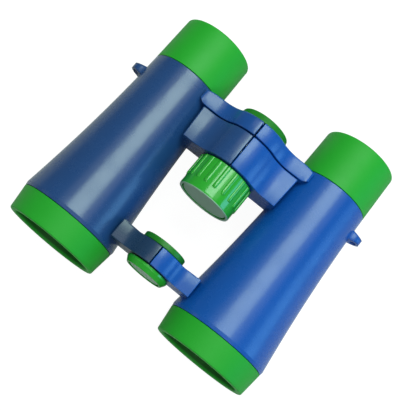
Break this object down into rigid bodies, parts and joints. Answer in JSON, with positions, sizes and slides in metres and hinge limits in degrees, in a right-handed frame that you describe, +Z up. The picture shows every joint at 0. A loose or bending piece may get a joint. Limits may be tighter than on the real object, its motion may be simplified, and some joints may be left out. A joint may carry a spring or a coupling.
{
  "type": "toy binoculars",
  "caption": "Toy binoculars with two flared barrels, folding centre hinge, ribbed focusing knob, sliding eyepieces, green eyecups and rings, and strap lugs.",
  "frame": {"origin": "on the resting surface, midway in X and Y under the binoculars as they lie on the lips of their barrels and on their eyecups", "axes": "+X to the user's left barrel, +Y towards the eyecups (the user's side), -Y towards the objectives, +Z up; the barrels slope down to the rear by about 3.6 degrees because they lie on their flares"},
  "size_m": [0.1142, 0.1046, 0.0422],
  "materials": {
    "blue_plastic": "satin moulded",
    "green_plastic": "satin moulded",
    "grey_green_plastic": "fine matt",
    "black_plastic": "matt black inside",
    "steel": "turned",
    "lens": "polished"
  },
  "bodies": {
    "left_half": {"barrel_left": "blue_plastic", "objective_ring_left": "green_plastic", "objective_lens_left": "lens", "lens_keeper_left": "black_plastic", "light_stop_left": "black_plastic", "strap_lug_left": "blue_plastic", "eyecup_left": "green_plastic", "bridge_block_left": "blue_plastic", "bridge_plate_left": "blue_plastic", "front_arm_left": "blue_plastic", "rear_screw_left": "steel", "front_screw_left": "steel", "rear_cap": "green_plastic", "front_pin": "steel", "front_cap": "green_plastic", "front_cap_disc": "grey_green_plastic", "front_back_cap": "green_plastic"},
    "right_half": {"barrel_right": "blue_plastic", "objective_ring_right": "green_plastic", "objective_lens_right": "lens", "lens_keeper_right": "black_plastic", "light_stop_right": "black_plastic", "strap_lug_right": "blue_plastic", "eyecup_right": "green_plastic", "bridge_block_right": "blue_plastic", "bridge_plate_right": "blue_plastic", "front_arm_right": "blue_plastic", "rear_screw_right": "steel", "front_screw_right": "steel"},
    "knob": {"focus_shaft": "steel", "focus_knob": "green_plastic", "knob_disc": "grey_green_plastic", "shaft_clip": "steel"},
    "left_eyepiece": {"eyepiece_tube_left": "black_plastic", "eye_lens_left": "lens", "eye_keeper_left": "black_plastic", "focus_arm_left": "black_plastic", "focus_nut": "steel"},
    "right_eyepiece": {"eyepiece_tube_right": "black_plastic", "eye_lens_right": "lens", "eye_keeper_right": "black_plastic", "focus_arm_right": "black_plastic"}
  },
  "joints": [
    {"name": "fold", "type": "hinge", "parent": "left_half", "child": "right_half", "pos_m": [0, 0.00934, 0.02776], "axis": [0, -0.998, 0.0626], "range_deg": [0, 50]},
    {"name": "focus_turn", "type": "hinge", "parent": "left_half", "child": "knob", "pos_m": [0, 0.00934, 0.02776], "axis": [0, 0.998, -0.0626], "range_deg": [-180, 180]},
    {"name": "focus_left", "type": "slide", "parent": "left_half", "child": "left_eyepiece", "axis": [0, 0.998, -0.0626], "range_m": [-0.0015, 0.0015]},
    {"name": "focus_right", "type": "slide", "parent": "right_half", "child": "right_eyepiece", "axis": [0, 0.998, -0.0626], "range_m": [-0.0015, 0.0015]}
  ],
  "couplings": [
    {"joint": "focus_turn", "follows": "focus_left", "rad_per_m": 2094},
    {"joint": "focus_right", "follows": "focus_left", "ratio": 1}
  ]
}
